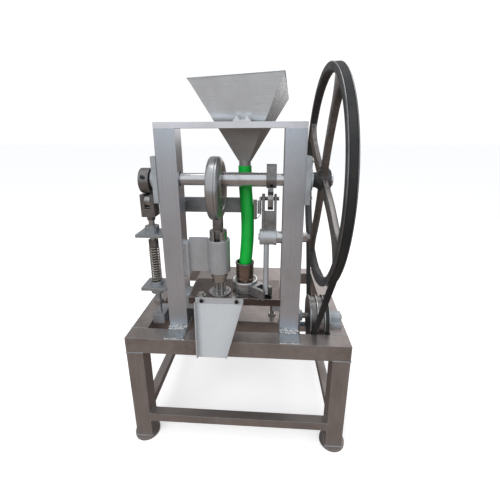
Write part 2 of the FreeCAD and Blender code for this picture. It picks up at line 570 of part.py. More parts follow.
def feed_shoe():
    V = FreeCAD.Vector
    centre = ("pipe_x", "pipe_y")
    cup_z = ("press_top + slide_gap", "shoe_top")
    node("feed_pipe", less(rod("z", ("pipe_low", "pipe_top"), centre, "pipe_radius"),
                           rod("z", ("pipe_low", "pipe_top"), centre, "pipe_radius - pipe_wall")))
    cup = rod("z", cup_z, centre, "shoe_radius")
    reach, half, thick = size("shoe_arm"), size("slot_half"), size("prong_wide")
    low, high, slot_start = size("press_top") + 1, size("shoe_top") - 2, 50
    arm = Part.makeBox(reach, 2 * (half + thick), high - low, V(0, -half - thick, low))
    arm = arm.cut(Part.makeBox(reach, 2 * half, high - low, V(slot_start, -half, low)))
    arm.rotate(V(0, 0, 0), V(0, 0, 1), size("shoe_turn"))
    arm.translate(V(size("pipe_x"), size("pipe_y"), 0))
    socket = rod("z", ("pipe_low", "shoe_top + 1"), centre, "pipe_radius")
    throat = rod("z", ("press_top", "shoe_top"), centre, "pipe_radius - pipe_wall")
    recess = rod("z", ("press_top", "press_top + 9.4"), centre, "25 + running_gap")
    node("feed_shoe", less(joined(cup, feature(Part.makeCompound([arm]))), socket, throat, recess))


def hopper():
    def frustum(inset, low, high):
        obj = doc.addObject("Part::Wedge", "Frustum")
        small = f"outlet_half - ({inset})"
        large = f"hopper_top / 2 - ({inset})"
        bind(obj, Xmin=f"-({small})", Xmax=small, Zmin=f"-({small})", Zmax=small, X2min=f"-({large})",
             X2max=large, Z2min=f"-({large})", Z2max=large, Ymin=low, Ymax=high)
        lean = about((0, 0, 1), -6.5) * about((1, 0, 0), -7.8) * about((0, 1, 0), -2)
        return put(obj, "hopper_x", "hopper_y", "outlet_z", turn=lean * about((1, 0, 0), 90))
    centre = ("hopper_x", "hopper_y")
    outer = frustum("0", "0", "hopper_high")
    inner = frustum("sheet_wall", "-0.5", "hopper_high + 0.5")
    spout = rod("z", ("hose_top", "outlet_z + 3"), centre, "outlet_half + 0.8")
    hole = rod("z", ("hose_top - 1", "outlet_z + 12"), centre, "outlet_half - 2.5")
    node("hopper", less(joined(outer, spout), inner, hole))
    bar_top = "column_top + top_bar_high"
    bolts = [nut("z", (f"{bar_top} + 4", f"{bar_top} + 11"), (x, 58), "7") for x in (4, 28)]
    tab = box((-4, 36), ("column_front", 88), (bar_top, f"{bar_top} + 4"))
    node("hopper_bracket", group(less(tab, frustum("0", "0", "hopper_high")), *bolts))


HOSE_ROUTE = [(17.5, 122, 778), (17.5, 122, 735), (21, 118, 690), (24.5, 112, 645),
              (25, 105, 600), (22.5, 99.5, 557), (18.5, 96.5, 515)]


def hose():
    """A tube along straight runs joined by tangent arcs; each arc is as large as its runs allow."""
    points = [FreeCAD.Vector(*point) for point in HOSE_ROUTE]
    edges, start, radii = [], points[0], []
    for before, corner, after in zip(points, points[1:], points[2:]):
        run_in, run_out = (corner - before), (after - corner)
        trim = 0.45 * min(run_in.Length, run_out.Length)
        turn = run_in.getAngle(run_out)
        radius = trim / math.tan(turn / 2)
        radii.append(radius)
        enter = corner - FreeCAD.Vector(run_in).normalize() * trim
        leave = corner + FreeCAD.Vector(run_out).normalize() * trim
        inward = (enter + leave) * 0.5 - corner
        middle = corner + inward.normalize() * (radius / math.cos(turn / 2) - radius)
        edges += [Part.LineSegment(start, enter).toShape(), Part.Arc(enter, middle, leave).toShape()]
        start = leave
    edges.append(Part.LineSegment(start, points[-1]).toShape())
    path = Part.Wire(edges)
    print("hose radii", [round(radius) for radius in radii], "length", round(path.Length, 1))
    section = Part.Wire(Part.makeCircle(size("hose_radius"), points[0], points[1] - points[0]))
    tube = path.makePipeShell([section], True, True)
    print("hose volume ratio", round(tube.Volume / (math.pi * size("hose_radius") ** 2 * path.Length), 4))
    node("feed_hose", feature(tube))


for build in (table, portal, bearings, camshaft, flywheel, drive, ram, guide, press_plate, chute,
              lifter, lifter_guides, feed_lever, feed_shoe, hopper, hose):
    build()
doc.recompute()

broken = [obj.Name for obj in doc.Objects if {"Invalid", "Error"} & set(obj.State)]
broken += [obj.Label for obj in NODES if obj.Shape.isNull() or not obj.Shape.isValid()]
if broken:
    raise RuntimeError(f"these objects failed: {broken}")
print(len(NODES), "nodes")

os.makedirs("parts", exist_ok=True)
for obj in NODES:
    obj.Shape.exportStep(os.path.join("parts", obj.Label + ".step"))
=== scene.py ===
import math
import random

import bpy
from mathutils import Matrix, Vector


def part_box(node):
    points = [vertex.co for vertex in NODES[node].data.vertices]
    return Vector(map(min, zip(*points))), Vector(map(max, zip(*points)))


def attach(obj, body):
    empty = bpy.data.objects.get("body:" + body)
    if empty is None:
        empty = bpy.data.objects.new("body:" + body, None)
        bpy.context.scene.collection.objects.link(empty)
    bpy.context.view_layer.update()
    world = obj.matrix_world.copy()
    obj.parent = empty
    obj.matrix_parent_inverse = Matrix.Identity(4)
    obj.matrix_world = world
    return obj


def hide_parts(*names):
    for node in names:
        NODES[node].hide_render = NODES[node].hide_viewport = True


bl_info = {
    "name": "Tablet press",
    "version": (1, 0, 0),
    "blender": (4, 5, 0),
    "location": "View3D > Sidebar > Press",
    "description": "Dresses a tablet press frame: wheel, strap, hose, springs, welds and finishes",
    "category": "Object",
}

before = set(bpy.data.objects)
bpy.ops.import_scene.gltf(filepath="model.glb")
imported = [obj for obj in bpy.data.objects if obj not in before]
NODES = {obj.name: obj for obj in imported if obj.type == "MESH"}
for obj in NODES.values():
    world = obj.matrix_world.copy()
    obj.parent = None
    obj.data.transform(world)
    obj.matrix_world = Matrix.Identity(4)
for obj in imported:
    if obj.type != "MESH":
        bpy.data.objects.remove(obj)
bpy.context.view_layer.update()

MM = 0.001
SIDES = 72

# ---------------------------------------------------------------- sizes read from the frame


def middle(node):
    low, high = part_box(node)
    return (low + high) / 2


SHAFT = Vector((0, middle("main_shaft").y, middle("main_shaft").z))
PUNCH_X = middle("ram").x
WHEEL_X = middle("flywheel_rim").x
WHEEL_R = (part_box("flywheel_rim")[1].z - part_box("flywheel_rim")[0].z) / 2
TABLE_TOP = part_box("table_long_rails")[1].z
TABLE_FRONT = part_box("table_long_rails")[0].y


def depth(value):
    """A Y coordinate from millimetres behind the table's front face."""
    return TABLE_FRONT + value * MM


# The hose's control points: X in metres, millimetres behind the table's front, Z in metres.
HOSE_ROUTE = ((0.0175, 122, 0.778), (0.0175, 122, 0.735), (0.021, 118, 0.690), (0.0245, 112, 0.645),
              (0.025, 105, 0.600), (0.0225, 99.5, 0.557), (0.0185, 96.5, 0.515))

# The belt wheel, seen along the shaft. Stations along the shaft run from the wheel's middle.
RIM_INNER, GROOVE_FLOOR, GROOVE_HALF, RIM_EDGE = 0.231, 0.243, 0.0066, 0.0012
ARM_START, ARM_END, ARM_BOW, ARM_STEPS = 0.020, 0.2318, 0.010, 18
ARM_THICK, ARM_WIDE, ARM_ROOT = 0.0062, 0.0152, 0.0187
FIRST_ARM = math.radians(29)
SHAFT_BORE = 0.0151

# The step pulley: the ends of its four discs in millimetres from the wheel's middle, and its grooves' floor.
PULLEY_DISCS = ((-11.5, -7.5), (7.5, 11.5), (26.5, 29.5), (38.5, 41.5))
PULLEY_GROOVE, PULLEY_SHAFT = 0.054, 0.008

# The strap's bore and half width, and the heights where its neck and tang end.
STRAP_BORE, STRAP_HALF = 0.0502, 0.016
NECK_LOW, TANG_LOW = 0.620, 0.5864

# The ram guide's bore, and the radius of the lever's stud.
GUIDE_BORE, STUD_BORE = 0.0227, 0.0085

# Heights of the lift rod's two threads, and of the two plates that guide the rod.
ROD_THREADS = ((0.378, 0.400), (0.418, 0.436))
GUIDE_PLATES, GUIDE_THICK = (0.604, 0.455), 0.008

# The columns' base plates, the table's tubes, its stretchers and its feet, for the weld beads.
BASE_THICK, FOOT_THICK = 0.005, 0.006
TUBE_SIDE, TABLE_HALF = 0.045, 0.295
STRETCHER_SIDE, STRETCHER_END = 0.025, 0.25
STRETCHER_HEIGHTS = (0.062, 0.087)

# The right bearing's bolts stand this far above and below the shaft, and end this far from the column.
BOLT_RISE, BOLT_END = 0.044, 0.0165

# Turned outlines of small screws and rims: rings of (station, radius).
GRUB_SCREW = [(0, 0.0048), (0.0008, 0.0048), (0.001, 0.0040), (-0.002, 0.0034), (-0.0021, 0.0004)]
HUB_SCREW = [(0, 0.0045), (0.0028, 0.0045), (0.003, 0.0035), (0.001, 0.0026), (0.0009, 0.0002)]
CHUTE_SCREW = [(0, 0.0052), (0.0022, 0.0049), (0.0034, 0.0036), (0.0034, 0.0024), (0.0012, 0.0022),
               (0.0012, 0.0002)]
DIE_SCREW = [(0, 0.0036), (0.003, 0.0036), (0.0036, 0.003), (0.0036, 0.0018), (0.0016, 0.0017),
             (0.0016, 0.0002)]
THREAD_END = [(0, 0.0036), (0.0035, 0.0036), (0.004, 0.003)]
WASHER = [(0, 0.0112), (0.0012, 0.0112), (0.0016, 0.0106)]
PIPE_RIM = [(-0.004, 0.0242), (-0.0035, 0.0253), (0.0003, 0.0253), (0.0012, 0.0244), (0.0012, 0.0214),
            (0.0003, 0.0206), (-0.004, 0.0209)]
CUP_LIP = [(-0.003, 0.0342), (-0.0024, 0.0356), (0.001, 0.0358), (0.0028, 0.0342), (0.0032, 0.031),
           (0.0018, 0.0285), (-0.001, 0.0278)]
LEVER_HUB = [(0.0572, STUD_BORE), (0.0572, 0.0190), (0.059, 0.0204), (0.063, 0.0205), (0.068, 0.0199),
             (0.088, 0.0199), (0.094, 0.0203), (0.0978, 0.0216), (0.0996, 0.0216), (0.1003, 0.0208),
             (0.1003, STUD_BORE)]

# ---------------------------------------------------------------- modelling helpers


def clear():
    if bpy.context.object and bpy.context.object.mode != "OBJECT":
        bpy.ops.object.mode_set(mode="OBJECT")
    bpy.ops.object.select_all(action="DESELECT")


def pick(*pieces):
    clear()
    for piece in pieces:
        piece.select_set(True)
    bpy.context.view_layer.objects.active = pieces[0]
    return pieces[0]


def edit(piece):
    pick(piece)
    bpy.ops.object.mode_set(mode="EDIT")
    bpy.ops.mesh.select_all(action="SELECT")


def done():
    bpy.ops.object.mode_set(mode="OBJECT")


def settle(piece):
    """Move the object's place, turn and size into its mesh."""
    pick(piece)
    bpy.ops.object.transform_apply(location=True, rotation=True, scale=True)
    return piece


def moved(piece, matrix):
    piece.data.transform(matrix)
    if matrix.determinant() < 0:
        piece.data.flip_normals()
    return piece


def copied(piece, matrix):
    twin = bpy.data.objects.new(piece.name + "_copy", piece.data.copy())
    bpy.context.scene.collection.objects.link(twin)
    return moved(twin, matrix)


def merged(pieces):
    first = pick(*pieces)
    if len(pieces) > 1:
        bpy.ops.object.join()
    return first


def modify(piece, kind, **values):
    pick(piece)
    modifier = piece.modifiers.new(kind.title(), kind)
    for key, value in values.items():
        setattr(modifier, key, value)
    bpy.ops.object.modifier_apply(modifier=modifier.name)
    return piece


def rounded(piece, width, segments=2, angle=35):
    return modify(piece, "BEVEL", width=width, segments=segments, limit_method="ANGLE",
                  angle_limit=math.radians(angle), harden_normals=False)


AXIS_TURN = {
    "x": Matrix.Rotation(math.radians(90), 4, "Y"),
    "y": Matrix.Rotation(math.radians(-90), 4, "X"),
    "z": Matrix.Identity(4),
}


def turned(rings, axis, at, sides=SIDES, closed=False):
    """A turned part: rings of (station along the axis, radius), extruded and scaled one by one."""
    clear()
    station, radius = rings[0]
    fill = "NOTHING" if closed else "NGON"
    bpy.ops.mesh.primitive_circle_add(vertices=sides, radius=radius, fill_type=fill, location=(0, 0, station))
    piece = settle(bpy.context.object)
    edit(piece)
    for next_station, next_radius in rings[1:] + (rings[:1] if closed else []):
        bpy.ops.mesh.extrude_region_move(TRANSFORM_OT_translate={"value": (0, 0, next_station - station)})
        grow = next_radius / radius
        bpy.ops.transform.resize(value=(grow, grow, 1))
        station, radius = next_station, next_radius
    bpy.ops.mesh.select_all(action="SELECT")
    bpy.ops.mesh.remove_doubles(threshold=1e-6)
    bpy.ops.mesh.normals_make_consistent(inside=False)
    done()
    return moved(piece, Matrix.Translation(at) @ AXIS_TURN[axis])


def block(low, high):
    clear()
    low, high = Vector(low), Vector(high)
    bpy.ops.mesh.primitive_cube_add(size=1, location=(low + high) / 2)
    bpy.context.object.scale = high - low
    return settle(bpy.context.object)


def coil(at, radius, wire, height, turns, steps=20, sides=8):
    """A round wire wound upwards from a point about Z."""
    clear()
    bpy.ops.mesh.primitive_circle_add(vertices=sides, radius=wire, rotation=(math.pi / 2, 0, 0),
                                      location=(radius, 0, 0))
    piece = settle(bpy.context.object)
    modify(piece, "SCREW", angle=2 * math.pi, screw_offset=height / turns, iterations=turns, steps=steps,
           render_steps=steps, use_smooth_shade=True, use_merge_vertices=False)
    edit(piece)
    bpy.ops.mesh.fill_holes(sides=sides)
    bpy.ops.mesh.select_all(action="SELECT")
    bpy.ops.mesh.normals_make_consistent(inside=False)
    done()
    return moved(piece, Matrix.Translation(at))


def tube(points, radius, sides=12):
    """A bent bar through points, its ends closed."""
    clear()
    curve = bpy.data.curves.new("bar", "CURVE")
    curve.dimensions = "3D"
    curve.bevel_depth = radius
    curve.bevel_resolution = max(1, sides // 4)
    curve.use_fill_caps = True
    spline = curve.splines.new("NURBS")
    spline.points.add(len(points) - 1)
    for point, place in zip(spline.points, points):
        point.co = (*place, 1)
    spline.order_u = 3
    spline.use_endpoint_u = True
    piece = bpy.data.objects.new("bar", curve)
    bpy.context.scene.collection.objects.link(piece)
    pick(piece)
    bpy.ops.object.convert(target="MESH")
    return bpy.context.object


def bead(start, end, width, rng, lift=0.55):
    """A weld bead: overlapping flattened lumps from one point to another."""
    start, end = Vector(start), Vector(end)
    count = max(3, round((end - start).length / (width * 0.62)))
    clear()
    bpy.ops.mesh.primitive_ico_sphere_add(subdivisions=2, radius=1)
    lump = bpy.context.object
    pieces = []
    for k in range(count + 1):
        place = start.lerp(end, k / count)
        jitter = Vector([rng.uniform(-0.16, 0.16) * width for _ in range(3)])
        size = width * rng.uniform(0.48, 0.68)
        pieces.append(copied(lump, Matrix.Translation(place + jitter) @ Matrix.Diagonal(
            (size, size, size * rng.uniform(lift, 1.0), 1))))
    bpy.data.objects.remove(lump)
    return merged(pieces)


def welded(lines, width, rng):
    """One piece from lines of (start, end, share of the full bead's width, and a lift where it differs)."""
    return merged([bead(start, end, width * share, rng, *lift) for start, end, share, *lift in lines])


def front_screw(outline, sides):
    """A small turned screw at the origin, whose head looks forwards."""
    return moved(turned(outline, "y", Vector((0, 0, 0)), sides), Matrix.Rotation(math.pi, 4, "Z"))


def finish_piece(piece, name, body, finish, replaces=(), angle=32):
    """Name a piece, give it its finish, smooth it and hang it on its body."""
    pick(piece)
    piece.name = name
    piece.data.name = name
    piece.data.materials.clear()
    piece.data.materials.append(FINISHES[finish])
    bpy.ops.object.shade_smooth_by_angle(angle=math.radians(angle))
    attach(piece, body)
    if replaces:
        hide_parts(*replaces)
    return piece


# ---------------------------------------------------------------- finishes

FINISHES = {}


def preset(node, **values):
    """Set a node's own inputs by name; an underscore stands for a space."""
    for name, value in values.items():
        node.inputs[name.replace("_", " ")].default_value = value


class Finish:
    """Builds one material's nodes from left to right."""

    def __init__(self, name):
        self.material = bpy.data.materials.new(name)
        self.material.use_nodes = True
        self.tree = self.material.node_tree
        self.shader = self.tree.nodes["Principled BSDF"]
        self.place = self.add("ShaderNodeTexCoord").outputs["Object"]

    def add(self, kind, **values):
        node = self.tree.nodes.new(kind)
        for key, value in values.items():
            setattr(node, key, value)
        return node

    def link(self, source, socket):
        self.tree.links.new(source, socket)

    def stretched(self, scale):
        mapping = self.add("ShaderNodeMapping")
        self.link(self.place, mapping.inputs["Vector"])
        preset(mapping, Scale=scale)
        return mapping.outputs["Vector"]

    def noise(self, scale, detail=5, rough=0.55, distortion=0.0):
        node = self.add("ShaderNodeTexNoise")
        self.link(self.stretched(scale if hasattr(scale, "__len__") else (scale,) * 3), node.inputs["Vector"])
        preset(node, Scale=1, Detail=detail, Roughness=rough, Distortion=distortion)
        return node.outputs["Fac"]

    def ramp(self, source, low, high, start=0.0, end=1.0):
        node = self.add("ShaderNodeMapRange")
        self.link(source, node.inputs["Value"])
        preset(node, From_Min=low, From_Max=high, To_Min=start, To_Max=end)
        return node.outputs["Result"]

    def feed(self, value, socket):
        """Link an output to a socket, or give the socket a plain number or colour."""
        if hasattr(value, "is_linked"):
            self.link(value, socket)
        else:
            socket.default_value = (*value, 1) if hasattr(value, "__len__") else value

    def mix(self, factor, one, two, blend="MIX"):
        node = self.add("ShaderNodeMix", data_type="RGBA", blend_type=blend)
        for value, index in ((factor, 0), (one, 6), (two, 7)):
            self.feed(value, node.inputs[index])
        return node.outputs[2]

    def maths(self, operation, one, two):
        node = self.add("ShaderNodeMath", operation=operation, use_clamp=True)
        for value, socket in zip((one, two), node.inputs):
            self.feed(value, socket)
        return node.outputs[0]

    def edges(self, radius):
        """The bevelled normal, and a mask that is 1 along hard edges."""
        bevel = self.add("ShaderNodeBevel", samples=4)
        preset(bevel, Radius=radius)
        geometry = self.add("ShaderNodeNewGeometry")
        dot = self.add("ShaderNodeVectorMath", operation="DOT_PRODUCT")
        self.link(bevel.outputs["Normal"], dot.inputs[0])
        self.link(geometry.outputs["Normal"], dot.inputs[1])
        return bevel.outputs["Normal"], self.ramp(dot.outputs["Value"], 0.995, 0.86)

    def bumped(self, height, strength, distance, normal=None):
        bump = self.add("ShaderNodeBump")
        preset(bump, Strength=strength, Distance=distance)
        self.link(height, bump.inputs["Height"])
        if normal is not None:
            self.link(normal, bump.inputs["Normal"])
        self.link(bump.outputs["Normal"], self.shader.inputs["Normal"])


def metal(name, colour, stain, metallic, rough, grain, grain_depth=0.35, patch=9, patch_gain=0.6,
          edge=None, edge_gain=0.7, bump=0.12, bump_size=0.0002, edge_size=0.0012, coat=0.0):
    """Worn metal: a base colour with stains, brushed or turned grain, and edges rubbed bright or dirty."""
    finish = Finish(name)
    fine = finish.noise(grain, 6, 0.62)
    patches = finish.noise(patch, 4, 0.6, 0.4)
    speck = finish.noise(patch * 14, 3, 0.7)
    mask = finish.maths("MULTIPLY", finish.ramp(patches, 0.46, 0.68), patch_gain)
    body = finish.mix(mask, colour, stain)
    streak = finish.ramp(fine, 0.3, 0.7, 1 - grain_depth, 1 + grain_depth * 0.35)
    body = finish.mix(1.0, body, streak, "MULTIPLY")
    body = finish.mix(finish.maths("MULTIPLY", finish.ramp(speck, 0.62, 0.76), 0.16), body,
                      [channel * 0.45 for channel in stain])
    normal, rim = finish.edges(edge_size)
    if edge:
        worn = finish.maths("MULTIPLY", rim, finish.ramp(speck, 0.35, 0.6, edge_gain * 0.4, edge_gain))
        body = finish.mix(worn, body, edge)
    finish.link(body, finish.shader.inputs["Base Color"])
    gloss = finish.ramp(fine, 0.3, 0.7, rough[0], rough[1])
    gloss = finish.maths("ADD", gloss, finish.maths("MULTIPLY", mask, 0.14))
    finish.link(gloss, finish.shader.inputs["Roughness"])
    preset(finish.shader, Metallic=metallic)
    if coat:
        preset(finish.shader, Coat_Weight=coat, Coat_Roughness=0.18)
    finish.bumped(fine, bump, bump_size, normal)
    FINISHES[name] = finish.material
    return finish


def paint_shade_below(finish, unshaded_above, full_shade_below, tint):
    """Paint shade onto a finish below a height: unshaded above the first height, fully painted shade below
    the second.
    """
    split = finish.add("ShaderNodeSeparateXYZ")
    finish.link(finish.place, split.inputs[0])
    colour = finish.shader.inputs["Base Color"].links[0].from_socket
    # painted shade: towards the bottom the colour is multiplied by the tint
    shade_fade = finish.ramp(split.outputs["Z"], unshaded_above, full_shade_below)
    finish.link(finish.mix(shade_fade, colour, finish.mix(1.0, colour, tint, "MULTIPLY")),
                finish.shader.inputs["Base Color"])


def plastic(name, colour, shade, rough, scale, bump=0.08, subsurface=0.0):
    finish = Finish(name)
    fine = finish.noise(scale, 4, 0.5)
    broad = finish.noise(11, 3, 0.6)
    body = finish.mix(finish.ramp(broad, 0.4, 0.7), colour, shade)
    finish.link(body, finish.shader.inputs["Base Color"])
    finish.link(finish.ramp(fine, 0.3, 0.7, rough[0], rough[1]), finish.shader.inputs["Roughness"])
    if subsurface:
        preset(finish.shader, Subsurface_Weight=subsurface, Subsurface_Radius=(0.002, 0.006, 0.002))
    finish.bumped(fine, bump, 0.0002)
    FINISHES[name] = finish.material


def make_finishes(colours):
    """Every finish on the press. Grain scales are per metre along X, Y and Z."""
    metal("table_satin", colours.table, (0.22, 0.175, 0.15), 0.8, (0.32, 0.44), (60, 60, 60), 0.14,
          patch=6, patch_gain=0.6, edge=(0.66, 0.62, 0.58), bump=0.06)
    metal("leg_satin", colours.table, (0.26, 0.22, 0.20), 0.8, (0.34, 0.46), (260, 260, 12), 0.14,
          patch=7, patch_gain=0.5, edge=(0.66, 0.63, 0.6), bump=0.06)
    metal("column_brushed", colours.column, (0.44, 0.44, 0.46), 0.9, (0.24, 0.34), (420, 420, 9), 0.05,
          patch=5, patch_gain=0.4, edge=(0.85, 0.87, 0.9), bump=0.03)
    metal("bar_silver", (0.86, 0.87, 0.90), (0.62, 0.62, 0.64), 0.7, (0.3, 0.45), (12, 300, 300), 0.08,
          patch=8, patch_gain=0.35, edge=(0.95, 0.95, 0.95), bump=0.04)
    metal("polished_shaft", (0.70, 0.70, 0.71), (0.36, 0.31, 0.27), 1.0, (0.16, 0.26), (700, 25, 25), 0.14,
          patch=14, patch_gain=0.35, edge=(0.85, 0.85, 0.85), bump=0.03)
    metal("polished_ram", (0.60, 0.59, 0.58), (0.34, 0.28, 0.23), 1.0, (0.16, 0.28), (25, 25, 600), 0.18,
          patch=14, patch_gain=0.5, edge=(0.85, 0.85, 0.84), bump=0.05)
    metal("plate_dark", (0.17, 0.14, 0.13), (0.08, 0.06, 0.055), 1.0, (0.14, 0.24), (40, 40, 40), 0.2,
          patch=12, patch_gain=0.5, edge=(0.9, 0.9, 0.9), edge_gain=0.9, bump=0.04)
    metal("machined_dark", (0.30, 0.29, 0.285), (0.10, 0.085, 0.07), 0.95, (0.26, 0.42), (500, 60, 60), 0.3,
          patch=22, patch_gain=0.6, edge=(0.62, 0.61, 0.6), bump=0.12)
    metal("machined_bright", (0.55, 0.55, 0.55), (0.26, 0.23, 0.20), 1.0, (0.2, 0.34), (500, 40, 40), 0.25,
          patch=20, patch_gain=0.5, edge=(0.82, 0.82, 0.82), bump=0.1)
    metal("strap_turned", (0.56, 0.565, 0.565), (0.30, 0.27, 0.24), 1.0, (0.26, 0.38), (900, 18, 18), 0.2,
          patch=16, patch_gain=0.45, edge=(0.85, 0.85, 0.85), bump=0.08)
    metal("bracket_grey", (0.42, 0.44, 0.46), (0.20, 0.19, 0.18), 0.75, (0.34, 0.5), (240, 240, 40), 0.22,
          patch=16, patch_gain=0.6, edge=(0.66, 0.66, 0.65), bump=0.12)
    metal("spring_wire", (0.48, 0.45, 0.41), (0.16, 0.13, 0.11), 1.0, (0.24, 0.4), (200, 200, 200), 0.25,
          patch=60, patch_gain=0.6, bump=0.1)
    metal("iron_dark", colours.iron, (0.035, 0.033, 0.032), 0.5, (0.42, 0.6), (190, 190, 190), 0.45,
          patch=24, patch_gain=0.6, edge=(0.32, 0.32, 0.32), edge_gain=0.5, bump=0.35, bump_size=0.0006)
    metal("iron_arm", (0.24, 0.225, 0.215), (0.10, 0.085, 0.075), 0.9, (0.26, 0.4), (150, 150, 150), 0.3,
          patch=18, patch_gain=0.6, edge=(0.34, 0.34, 0.34), edge_gain=0.5, bump=0.25, bump_size=0.0006)
    metal("iron_turned", (0.30, 0.30, 0.31), (0.15, 0.145, 0.14), 1.0, (0.28, 0.4), (900, 60, 60), 0.3,
          patch=26, patch_gain=0.5, bump=0.08)
    metal("satin_silver", (0.60, 0.62, 0.645), (0.42, 0.41, 0.40), 0.75, (0.38, 0.5), (380, 380, 380), 0.2,
          patch=18, patch_gain=0.4, edge=(0.75, 0.75, 0.74), bump=0.12)
    metal("enamel_grey", (0.44, 0.475, 0.50), (0.27, 0.28, 0.28), 0.35, (0.32, 0.46), (80, 80, 80), 0.1,
          patch=30, patch_gain=0.5, edge=(0.42, 0.41, 0.4), edge_gain=0.6, bump=0.15, coat=0.3)
    metal("motor_enamel", (0.10, 0.13, 0.16), (0.05, 0.05, 0.05), 0.2, (0.3, 0.45), (140, 140, 140), 0.2,
          patch=20, patch_gain=0.5, edge=(0.4, 0.4, 0.4), edge_gain=0.4, bump=0.3, bump_size=0.0005)
    sheet = metal("hopper_sheet", colours.hopper, (0.52, 0.53, 0.535), 0.5, (0.24, 0.32), (14, 90, 200),
                  0.04, patch=7, patch_gain=0.4, edge=(0.85, 0.87, 0.9), bump=0.015)
    # painted shade: the hopper's sheet is painted darker and browner below the bar, towards the outlet
    paint_shade_below(sheet, 0.895, 0.872, (0.40, 0.365, 0.34))
    metal("chute_sheet", colours.chute, (0.60, 0.60, 0.61), 0.35, (0.32, 0.42), (160, 14, 14), 0.04,
          patch=9, patch_gain=0.35, edge=(0.38, 0.38, 0.39), bump=0.02)
    metal("shoe_casting", (0.46, 0.46, 0.46), (0.22, 0.21, 0.2), 0.95, (0.26, 0.42), (120, 120, 120), 0.25,
          patch=24, patch_gain=0.5, edge=(0.8, 0.8, 0.79), bump=0.2, bump_size=0.0004)
    metal("pipe_copper", (0.42, 0.33, 0.28), (0.14, 0.09, 0.06), 1.0, (0.14, 0.26), (30, 30, 400), 0.3,
          patch=20, patch_gain=0.6, edge=(0.7, 0.66, 0.62), bump=0.06)
    metal("weld_bright", (0.72, 0.72, 0.72), (0.30, 0.27, 0.25), 1.0, (0.2, 0.42), (420, 420, 420), 0.35,
          patch=90, patch_gain=0.5, bump=0.4, bump_size=0.0005)
    metal("zinc_bolt", (0.56, 0.54, 0.49), (0.24, 0.22, 0.19), 1.0, (0.24, 0.4), (300, 300, 300), 0.2,
          patch=70, patch_gain=0.5, edge=(0.78, 0.77, 0.74), edge_size=0.0006, bump=0.08)
    metal("black_screw", (0.035, 0.035, 0.037), (0.015, 0.015, 0.015), 0.7, (0.3, 0.45), (300, 300, 300), 0.2,
          patch=60, patch_gain=0.4, edge=(0.2, 0.2, 0.2), edge_size=0.0006, edge_gain=0.4)
    plastic("hose_green", colours.hose, [channel * 0.82 for channel in colours.hose], (0.3, 0.42), 260,
            subsurface=0.08)
    plastic("belt_rubber", (0.012, 0.012, 0.013), (0.03, 0.029, 0.028), (0.62, 0.8), 700, bump=0.25)


CAD_FINISH = {
    "table_satin": ("table_long_rails", "table_side_rails", "table_inner_rails", "rail_end_caps",
                    "table_plate"),
    "leg_satin": ("table_legs", "foot_discs", "table_stretchers"),
    "column_brushed": ("column_left", "column_right"),
    "bar_silver": ("top_bar", "hopper_bracket"),
    "polished_shaft": ("main_shaft", "shaft_sleeves", "rocker_stud"),
    "polished_ram": ("ram", "gudgeon_pin", "lift_rod", "upper_punches", "lower_punches"),
    "machined_dark": ("feed_cam", "lift_cam", "cam_spacer_ring", "lift_fork", "rod_collars",
                      "eccentric_sheave"),
    "machined_bright": ("eccentric_ring", "lift_roller", "feed_roller_bearing", "die", "fill_nut"),
    "plate_dark": ("press_plate",),
    "satin_silver": ("ram_guide", "feed_rod_arm", "guide_arm"),
    "bracket_grey": ("rod_guides", "plate_brackets", "rear_bar", "lift_yoke", "column_end_plates"),
    "iron_arm": ("lever_fork",),
    "enamel_grey": ("shaft_bearings", "jack_bearings"),
    "motor_enamel": ("motor_body", "motor_rotor"),
    "hopper_sheet": ("hopper",),
    "chute_sheet": ("chute",),
    "shoe_casting": ("feed_shoe",),
    "pipe_copper": ("feed_pipe",),
    "zinc_bolt": ("bearing_bolts", "plate_screws"),
    "iron_dark": ("flywheel_rim", "flywheel_arms", "flywheel_hub", "step_pulley"),
    "belt_rubber": ("drive_belts",),
    "strap_turned": ("eccentric_strap",),
    "spring_wire": ("lift_spring",),
    "hose_green": ("feed_hose",),
}


# ---------------------------------------------------------------- settings

def tint(name, description, default):
    return bpy.props.FloatVectorProperty(name=name, description=description, subtype="COLOR", size=3,
                                         default=default)


def metres(name, description, default):
    return bpy.props.FloatProperty(name=name, description=description, default=default, unit="LENGTH")


class PressColours(bpy.types.PropertyGroup):
    """Colours of the press's main finishes."""
    table: tint("Table", "Satin steel of the table's tubes", (0.39, 0.35, 0.335))
    column: tint("Columns", "Brushed steel of the portal", (0.66, 0.70, 0.75))
    hopper: tint("Hopper", "Rolled sheet of the hopper", (0.78, 0.84, 0.88))
    chute: tint("Chute", "Pale sheet of the chute", (0.52, 0.525, 0.53))
    iron: tint("Wheel", "Dark casting of the belt wheel", (0.085, 0.085, 0.088))
    hose: tint("Hose", "Green of the feed hose", (0.0, 0.50, 0.05))


class PressSizes(bpy.types.PropertyGroup):
    """Sizes of the details that the frame leaves plain."""
    wire: metres("Spring wire", "Radius of the lift spring's wire", 0.0019)
    coils: bpy.props.IntProperty(name="Spring coils", description="Turns of the lift spring", default=15)
    weld: metres("Weld width", "Width of a weld bead", 0.008)
    pitch: metres("Thread pitch", "Rise of the rod's thread in one turn", 0.0025)
    hose_radius: metres("Hose radius", "Outer radius of the feed hose", 0.017)
    spokes: bpy.props.IntProperty(name="Arms", description="Curved arms of the belt wheel", default=4)


# ---------------------------------------------------------------- operators

